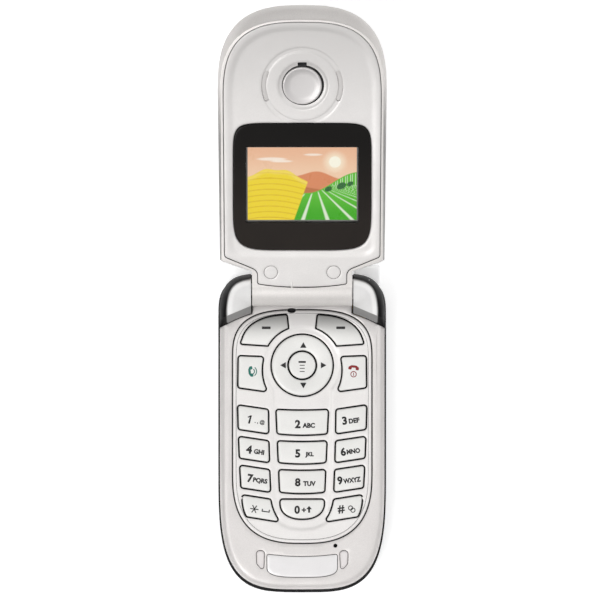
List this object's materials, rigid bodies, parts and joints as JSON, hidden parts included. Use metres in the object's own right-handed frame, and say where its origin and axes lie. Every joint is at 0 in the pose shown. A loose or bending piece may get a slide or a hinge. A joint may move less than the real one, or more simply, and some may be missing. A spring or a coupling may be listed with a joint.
{
  "type": "flip phone",
  "caption": "Clamshell mobile phone with a keypad base, a hinged display half, travelling keys, a rocking navigation ring and a sliding battery cover.",
  "frame": {"origin": "centre of the flat back of the base half, the face it lies on", "axes": "+X to the right as the keypad is read, +Y along the base towards the hinge and the display half, +Z out of the keypad"},
  "size_m": [0.044, 0.1532, 0.0466],
  "materials": {
    "dark_housing": "dark graphite metallic paint, fading to silver on the two shoulders",
    "silver_housing": "silver metallic paint, fine flake, satin clear coat",
    "silver_bezel": "silver metallic paint, satin",
    "flip_paint": "silver metallic paint, fine flake, satin clear coat",
    "pearl_key": "pearl silver coat with dark grey printing, semi-gloss",
    "pad_rubber": "pale moulded rubber",
    "web_rubber": "soft silicone",
    "steel": "plain stamped steel",
    "can_steel": "tinned sheet",
    "board": "solder-masked circuit board",
    "contact": "gold-plated",
    "sim": "white printed card with a contact pad",
    "cell": "flat metal cell in a grey sleeve",
    "black_plastic": "black moulded plastic",
    "weight": "sintered metal",
    "lens": "smoke-tinted clear acrylic with a gloss face",
    "screen": null,
    "satin_metal": "satin spun disc",
    "flex": "amber flexible circuit",
    "plate": "blank pearl silver plate"
  },
  "bodies": {
    "base": {"base_rear_housing": "dark_housing", "base_front_housing": "silver_housing", "keypad_bezel": "silver_bezel", "keypad_mat": "web_rubber", "dome_sheet": "steel", "main_board": "board", "shield_cans": "can_steel", "sim_holder": "steel", "sim_card": "sim", "battery": "cell", "battery_contacts": "contact", "ringer_speaker": "black_plastic", "microphone": "can_steel", "antenna_cap": "silver_housing", "antenna": "contact", "accessory_port": "black_plastic", "headset_jack": "black_plastic", "vibrator_motor": "can_steel", "hinge_shaft": "steel", "hinge_bush": "steel", "base_screws": "steel", "base_pads": "pad_rubber", "name_plate": "plate", "side_switches": "board"},
    "flip": {"flip_rear_shell": "flip_paint", "flip_bezel": "silver_bezel", "display_lens": "lens", "display_panel": "screen", "display_frame": "can_steel", "flip_board": "board", "earpiece_speaker": "black_plastic", "earpiece_cap": "satin_metal", "flip_plugs": "plate", "flip_screws": "steel", "hinge_cartridge": "steel", "hinge_flex": "flex"},
    "key_1": {"key_1": "pearl_key"},
    "key_2": {"key_2": "pearl_key"},
    "key_3": {"key_3": "pearl_key"},
    "key_4": {"key_4": "pearl_key"},
    "key_5": {"key_5": "pearl_key"},
    "key_6": {"key_6": "pearl_key"},
    "key_7": {"key_7": "pearl_key"},
    "key_8": {"key_8": "pearl_key"},
    "key_9": {"key_9": "pearl_key"},
    "key_star": {"key_star": "pearl_key"},
    "key_0": {"key_0": "pearl_key"},
    "key_hash": {"key_hash": "pearl_key"},
    "soft_key_left": {"soft_key_left": "pearl_key"},
    "soft_key_right": {"soft_key_right": "pearl_key"},
    "send_key": {"send_key": "pearl_key"},
    "end_key": {"end_key": "pearl_key"},
    "select_key": {"select_key": "pearl_key"},
    "nav_web": {"nav_web": "web_rubber"},
    "nav_ring": {"nav_ring": "pearl_key"},
    "volume_rocker": {"volume_rocker": "pearl_key"},
    "voice_key": {"voice_key": "pearl_key"},
    "battery_cover": {"battery_cover": "dark_housing"},
    "cover_latch": {"cover_latch": "dark_housing"},
    "vibrator_weight": {"vibrator_weight": "weight"}
  },
  "joints": [
    {"name": "flip_hinge", "type": "hinge", "parent": "base", "child": "flip", "pos_m": [0, 0.039, 0.0169], "axis": [1, 0, 0], "range_deg": [0, 160]},
    {"name": "key_1_press", "type": "slide", "parent": "base", "child": "key_1", "axis": [0, 0, -1], "range_m": [0, 0.0004], "stiffness_N_per_m": 2000, "springref_m": -0.0002},
    {"name": "key_2_press", "type": "slide", "parent": "base", "child": "key_2", "axis": [0, 0, -1], "range_m": [0, 0.0004], "stiffness_N_per_m": 2000, "springref_m": -0.0002},
    {"name": "key_3_press", "type": "slide", "parent": "base", "child": "key_3", "axis": [0, 0, -1], "range_m": [0, 0.0004], "stiffness_N_per_m": 2000, "springref_m": -0.0002},
    {"name": "key_4_press", "type": "slide", "parent": "base", "child": "key_4", "axis": [0, 0, -1], "range_m": [0, 0.0004], "stiffness_N_per_m": 2000, "springref_m": -0.0002},
    {"name": "key_5_press", "type": "slide", "parent": "base", "child": "key_5", "axis": [0, 0, -1], "range_m": [0, 0.0004], "stiffness_N_per_m": 2000, "springref_m": -0.0002},
    {"name": "key_6_press", "type": "slide", "parent": "base", "child": "key_6", "axis": [0, 0, -1], "range_m": [0, 0.0004], "stiffness_N_per_m": 2000, "springref_m": -0.0002},
    {"name": "key_7_press", "type": "slide", "parent": "base", "child": "key_7", "axis": [0, 0, -1], "range_m": [0, 0.0004], "stiffness_N_per_m": 2000, "springref_m": -0.0002},
    {"name": "key_8_press", "type": "slide", "parent": "base", "child": "key_8", "axis": [0, 0, -1], "range_m": [0, 0.0004], "stiffness_N_per_m": 2000, "springref_m": -0.0002},
    {"name": "key_9_press", "type": "slide", "parent": "base", "child": "key_9", "axis": [0, 0, -1], "range_m": [0, 0.0004], "stiffness_N_per_m": 2000, "springref_m": -0.0002},
    {"name": "key_star_press", "type": "slide", "parent": "base", "child": "key_star", "axis": [0, 0, -1], "range_m": [0, 0.0004], "stiffness_N_per_m": 2000, "springref_m": -0.0002},
    {"name": "key_0_press", "type": "slide", "parent": "base", "child": "key_0", "axis": [0, 0, -1], "range_m": [0, 0.0004], "stiffness_N_per_m": 2000, "springref_m": -0.0002},
    {"name": "key_hash_press", "type": "slide", "parent": "base", "child": "key_hash", "axis": [0, 0, -1], "range_m": [0, 0.0004], "stiffness_N_per_m": 2000, "springref_m": -0.0002},
    {"name": "soft_key_left_press", "type": "slide", "parent": "base", "child": "soft_key_left", "axis": [0, 0, -1], "range_m": [0, 0.0004], "stiffness_N_per_m": 2000, "springref_m": -0.0002},
    {"name": "soft_key_right_press", "type": "slide", "parent": "base", "child": "soft_key_right", "axis": [0, 0, -1], "range_m": [0, 0.0004], "stiffness_N_per_m": 2000, "springref_m": -0.0002},
    {"name": "send_key_press", "type": "slide", "parent": "base", "child": "send_key", "axis": [0, 0, -1], "range_m": [0, 0.0004], "stiffness_N_per_m": 2000, "springref_m": -0.0002},
    {"name": "end_key_press", "type": "slide", "parent": "base", "child": "end_key", "axis": [0, 0, -1], "range_m": [0, 0.0004], "stiffness_N_per_m": 2000, "springref_m": -0.0002},
    {"name": "select_key_press", "type": "slide", "parent": "base", "child": "select_key", "axis": [0, 0, -1], "range_m": [0, 0.0004], "stiffness_N_per_m": 2000, "springref_m": -0.0002},
    {"name": "nav_fore_aft", "type": "hinge", "parent": "base", "child": "nav_web", "pos_m": [0, 0.01935, 0.0101], "axis": [1, 0, 0], "range_deg": [-1.5, 1.5], "stiffness_Nm_per_rad": 0.5},
    {"name": "nav_side", "type": "hinge", "parent": "nav_web", "child": "nav_ring", "pos_m": [0, 0.01935, 0.0101], "axis": [0, 1, 0], "range_deg": [-1.5, 1.5], "stiffness_Nm_per_rad": 0.5},
    {"name": "volume_rock", "type": "hinge", "parent": "base", "child": "volume_rocker", "pos_m": [-0.0195, 0.023, 0.006], "axis": [0, 0, 1], "range_deg": [-2.5, 2.5], "stiffness_Nm_per_rad": 0.5},
    {"name": "voice_key_press", "type": "slide", "parent": "base", "child": "voice_key", "axis": [-1, 0, 0], "range_m": [0, 0.0004], "stiffness_N_per_m": 2000, "springref_m": -0.0002},
    {"name": "battery_cover_slide", "type": "slide", "parent": "base", "child": "battery_cover", "axis": [0, -1, 0], "range_m": [0, 0.06]},
    {"name": "cover_latch_press", "type": "slide", "parent": "base", "child": "cover_latch", "axis": [0, 0, 1], "range_m": [0, 0.0008], "stiffness_N_per_m": 1500, "springref_m": -0.0002},
    {"name": "vibrator_spin", "type": "hinge", "parent": "base", "child": "vibrator_weight", "pos_m": [-0.0087, 0.0218, 0.005], "axis": [1, 0, 0], "continuous": true}
  ]
}
